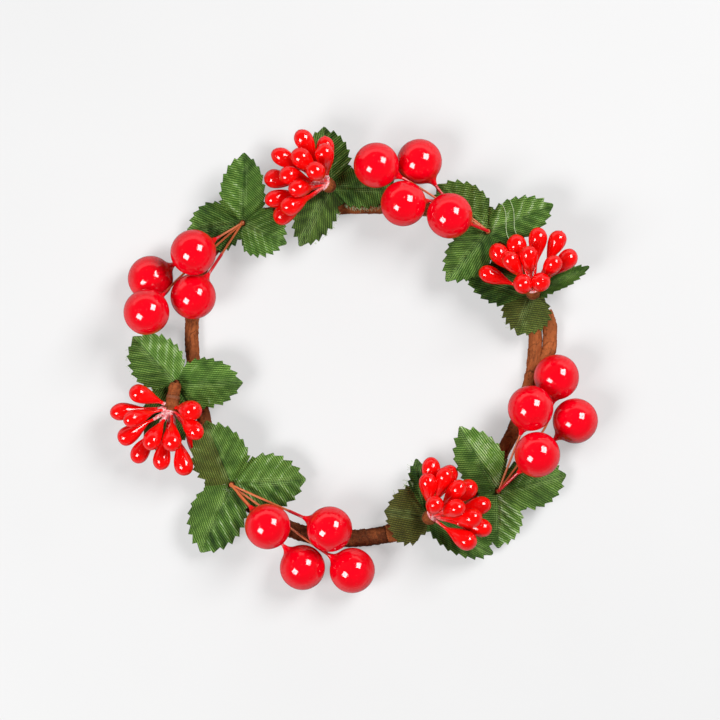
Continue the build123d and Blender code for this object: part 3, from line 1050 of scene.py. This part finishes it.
def turned_shell(build, origin, heading, profile, sides, seed, uneven):
    """Turns a profile of (radius, height) pairs round a heading, slightly out of true."""
    spin = heading.to_track_quat("Z", "Y")
    rings = []
    for radius, height in profile:
        if radius < 1e-7:
            rings.append([build.verts.new(origin + spin @ Vector((0, 0, height)))])
            continue
        ring = []
        for number in range(sides):
            angle = tau * number / sides
            spot = Vector((radius * cos(angle), radius * sin(angle), height))
            bump = noise.noise(spot * 190 + Vector((seed * 7.3, 0, 0))) * uneven
            ring.append(build.verts.new(origin + spin @ (spot * (1 + bump))))
        rings.append(ring)
    bridged(build, rings)


def lacquer(name, red, dark_red, waviness):
    """Red lacquer: a glossy coat over a saturated red, with a few dents and trapped bubbles."""
    look, shader, value = finish(name)
    cloud = value.speckle(260.0, 2.0)
    pores = value.speckle(2100.0, 0.0).between(0.74, 0.82)
    swell = value.speckle(420.0, 1.0)
    colour = (pores * 0.35).tinted(cloud.tinted(red, dark_red), srgb(250, 60, 60))
    feed(shader, Base_Color=colour, Roughness=0.05 + 0.03 * cloud, IOR=1.65,
         Normal=value.bumped(swell - pores * 0.4, waviness))
    return look


shoulder = radians(22)
berry_profile = [(0.0, -berry_radius)]
for step in range(1, 41):
    angle = pi - (pi - shoulder) * step / 40
    berry_profile.append((berry_radius * sin(angle), berry_radius * cos(angle)))
shoulder_edge = Vector(berry_profile[-1])
pulled = shoulder_edge + Vector((-cos(shoulder), sin(shoulder))) * neck_pull
neck_rim = Vector((berry_neck_tip, berry_neck_end))
berry_profile += [curve(shoulder_edge, pulled, neck_rim, step / 14) for step in range(1, 15)]
berry_profile += [(berry_neck_tip * 0.7, berry_neck_end + 0.0001), (0.0, berry_neck_end + 0.0001)]
berry_look = lacquer("berry_lacquer", srgb(246, 0, 30), srgb(232, 0, 20), 0.00004)
for side, places in berry_places.items():
    for number, (place, bend) in enumerate(places, start=1):
        centre = sprig_place(side, place)
        towards = sprig_place(side, bend) if bend else sprig_pivot(side)
        build = bmesh.new()
        turned_shell(build, centre, (towards - centre).normalized(), berry_profile, 72,
                     number + len(side) * 5, 0.008)
        name = f"{side}_berry_{number}"
        fitted(name + "_ball", build, berry_look, side + "_sprig", name)


# The sprig wires. Four enamelled wires leave a twist over each leaf's eye; the lacquer has run
# some way along them from the berries.

sprig_wire_radius = 0.0003
dip_radius = 0.00042
dip_rounding = 0.0008
twist_radius = 0.00055
twist_heights = (-0.0012, -0.0006, -0.0001, 0.0001)
dips = {
    "top": (0.004, 0.009, 0.003, 0.012),
    "left": (0.003, 0.0015, 0.008, 0.003),
    "right": (0.004, 0.002, 0.004, 0.02),
    "bottom": (0.002, 0.006, 0.02, 0.006),
}
enamel_look, shader, value = finish("wire_enamel")
dipped = value.mark("lap")
scuff = value.speckle(3000.0, 3.0)
enamel = scuff.tinted(srgb(178, 82, 38), srgb(222, 122, 70))
feed(shader, Base_Color=dipped.tinted(enamel, srgb(206, 6, 26)), Roughness=0.3 + 0.2 * scuff,
     Coat_Weight=dipped * 0.8, Coat_Roughness=0.05)


def dipped_wire(dry):
    """An enamelled wire that is coated with lacquer beyond its dry length."""
    def surface(along, turn):
        share = eased((along - dry) / dip_rounding)
        return sprig_wire_radius + (dip_radius - sprig_wire_radius) * share, Vector((share, 0, 0))
    return surface


for side, places in berry_places.items():
    build = bmesh.new()
    pivot = sprig_pivot(side)
    for (place, bend), dip in zip(places, dips[side]):
        centre = sprig_place(side, place)
        stops = [pivot, sprig_place(side, bend)] if bend else [pivot]
        neck = centre + (stops[-1] - centre).normalized() * (berry_neck_end - 0.0012)
        path = rounded(stops + [neck], 0.003, 0.0004)
        skin(build, path, 14, dipped_wire(length_of(path) - dip))
    twist = [pivot + Vector((0, 0, height)) for height in twist_heights]
    skin(build, twist, 16, shaped(even_thread(twist_radius),
                                  lambda along: -0.9 * max(0, along - 0.0011)))
    fitted(side + "_berry_wires", build, enamel_look, side + "_sprig",
           side + "_sprig_wires")


# The stamen bunches. Each stamen is a stiff thread whose end was dipped in the red lacquer to
# make a long pip; a bunch is gathered, glued and taped into a cup that leans out over the leaf.

neck_radius = 0.0016
neck_length = 0.0024
neck_pitch = 0.0017
head_radius = 0.002
pip_length = 0.0076
pip_radius = 0.00252
pip_taper = 0.0022
pip_widest = 0.72
filament_radius = 0.0004
stamen_reach = 0.01
cup_flare = 0.00045
cup_waist = 0.0003
winding_turns = 4
winding_steps = 26
winding_height = 0.0007
winding_radius = neck_radius + 0.00014
# Each cup's turn from its pick's heading, its rise and its share of the usual length.
necks = {"right": (0, 90, 1), "top": (0, 90, 1), "left": (-20, 4, 2.6), "bottom": (0, 90, 1)}
# Each stamen's turn from the heading, its rise, and its share of the usual reach.
stamens = {
    "top": [(-64, 12, 1.3), (-34, 6, 1.35), (-46, 38, 1.15), (-85, 42, 0.95), (-15, 32, 1.15),
            (-10, 0, 1.35), (7, 50, 1.15), (12, 15, 1.4), (28, 34, 1.3), (30, 8, 1.35),
            (-45, 68, 1.1), (-88, 12, 0.95)],
    "right": [(58, 10, 1.2), (32, 10, 1.3), (28, 38, 1.2), (10, 9, 1.25), (1, 42, 1.2),
              (50, 70, 1.05), (-14, 12, 1.35), (-35, 76, 1.05), (-34, 14, 1.45),
              (-55, 24, 1.25), (-42, 50, 1.2)],
    "left": [(-122, 20, 0.85), (-94, 4, 1.25), (-82, 32, 1.1), (-66, 4, 1.3), (-44, 4, 1.4),
             (-38, 34, 1.1), (-6, 40, 1.1), (-20, 8, 1.35), (2, 8, 1.5), (23, -8, 1.2),
             (70, 50, 0.8), (36, 36, 1.0)],
    "bottom": [(45, 25, 1.2), (62, 8, 1.25), (40, -1, 1.13), (66, 30, 1.0), (12, 12, 1.2),
               (22, 34, 1.2), (-12, 2, 1.3), (0, 52, 1.1), (-24, 28, 1.15), (-56, 22, 1.1),
               (-36, 8, 1.3), (48, 68, 1.05)],
}
glue_drips = {"top": 5, "right": 4, "left": 9, "bottom": 5}
pip_look = lacquer("pip_lacquer", srgb(252, 8, 8), srgb(240, 4, 4), 0.00006)

filament_look, shader, value = finish("filament_lacquer")
mottle = value.speckle(1500.0, 2.0)
coated = (value.mark("lap") + (mottle - 0.5) * 0.8).between(0.1, 0.65)
feed(shader, Base_Color=coated.tinted(srgb(250, 170, 168), srgb(250, 12, 16)), IOR=1.6,
     Roughness=0.12 + 0.1 * mottle)

thread_look, shader, value = finish("binding_thread")
fluff = value.speckle(5200.0, 2.0)
feed(shader, Base_Color=fluff.tinted(srgb(110, 62, 38), srgb(150, 92, 58)),
     Roughness=0.7 + 0.2 * fluff)

glue_look, shader, value = finish("hot_glue")
clot = value.speckle(1900.0, 2.0)
feed(shader, Base_Color=clot.between(0.35, 0.6).tinted(srgb(232, 84, 92), srgb(242, 206, 206)),
     Roughness=0.3 + 0.2 * clot, Normal=value.bumped(clot, 0.00015))
clot_radius = 0.00175
clot_height = 0.0009
clot_profile = [(0.0, -0.0008)]
for step in range(1, 12):
    angle = radians(150 - 150 * step / 12)
    clot_profile.append((clot_radius * sin(angle), clot_height * cos(angle)))
clot_profile.append((0.0, clot_height))


def pip_profile(start, plump):
    """A stamen's outline from its foot: a long taper into a pip with a blunt round tip."""
    profile = []
    for step in range(33):
        share = 0.5 - 0.5 * cos(pi * step / 32)
        if share < pip_widest:
            swell = 0.15 + 0.85 * sin(pi / 2 * share / pip_widest) ** 1.5
        else:
            swell = sqrt(max(0, 1 - ((share - pip_widest) / (1 - pip_widest)) ** 2))
        profile.append((pip_radius * plump * swell, start + (pip_length + pip_taper) * share))
    profile[-1] = (0.0, profile[-1][1])
    return profile


for side, rows in stamens.items():
    pick = side + "_stamen"
    body = side + "_bunch"
    pivot = placed(pick, 0, 0, pick_top(pick) + pivot_gap + neck_radius)
    turn, rise, stretch = necks[side]
    heading = heading_angle(pick)
    upright = rise > 45
    leaning = turned(heading + turn, rise)
    head = pivot + leaning * (neck_length * stretch)
    directions = [turned(heading + row[0], row[1]) for row in rows]
    opening = sum(directions, Vector()).normalized() if upright else leaning

    pips = bmesh.new()
    filaments = bmesh.new()
    drips = bmesh.new()
    shaker = random.Random(len(side) * 11)
    for number, (direction, row) in enumerate(zip(directions, rows)):
        start = stamen_reach * row[2] - pip_length / 2 - pip_taper
        turned_shell(pips, head, direction, pip_profile(start, shaker.uniform(0.9, 1.06)), 28,
                     number * 3 + len(side), 0.03)
        foot = head + opening * 0.0006
        bow = direction.orthogonal().normalized() * shaker.uniform(-0.0003, 0.0003)
        joint = head + direction * (start + 0.0008)
        path = [curve(foot, (foot + joint) / 2 + bow, joint, step / 12) for step in range(13)]
        whole = length_of(path)
        skin(filaments, path, 10, lambda along, turn: (
            filament_radius * (0.95 + 0.1 * along / whole), Vector((along / whole, 0, 0))))
        if number < glue_drips[side]:
            reach = shaker.uniform(0.55, 0.95)
            skin(drips, path[:max(4, round(12 * reach))], 9, lambda along, turn: (
                filament_radius * (1.9 - 0.8 * along / (whole * reach))
                * (1 + 0.2 * sin(along / 0.0003 + turn * 9)), Vector((0, 0, 0))))
    fitted(side + "_stamen_pips", pips, pip_look, body, side + "_stamens")
    fitted(side + "_stamen_filaments", filaments, filament_look, body, side + "_stamens")

    rim = head + opening * 0.0012
    base = pivot - leaning * 0.0004 if upright else pivot
    path = rounded([base, head, rim], 0.0014, 0.00018)
    whole = length_of(path)
    build = bmesh.new()
    skin(build, path, 36, shaped(
        tape_surface(neck_radius, len(side) + 60, neck_pitch),
        lambda along: (cup_flare * eased((along - whole * 0.45) / (whole * 0.5))
                       - cup_waist * eased(1 - along / 0.0008))))
    fitted(side + "_bunch_cup", build, tape_look, body, side + "_bunch_neck")

    build = bmesh.new()
    turned_shell(build, rim, opening, clot_profile, 32, len(side) * 9, 0.25)
    fitted(side + "_bunch_glue", build, glue_look, body)
    fitted(side + "_glue_drips", drips, glue_look, body)

    middle = head - leaning * (head_radius + 0.0004)
    spin = leaning.to_track_quat("Z", "Y")
    coil = []
    for step in range(winding_turns * winding_steps + 1):
        angle = tau * step / winding_steps
        height = (step / (winding_turns * winding_steps) - 0.5) * winding_height
        coil.append(middle + spin @ Vector((cos(angle) * winding_radius,
                                            sin(angle) * winding_radius, height)))
    build = bmesh.new()
    skin(build, coil, 8, even_thread(0.0001))
    fitted(side + "_bunch_winding", build, thread_look, body, side + "_bunch_thread")
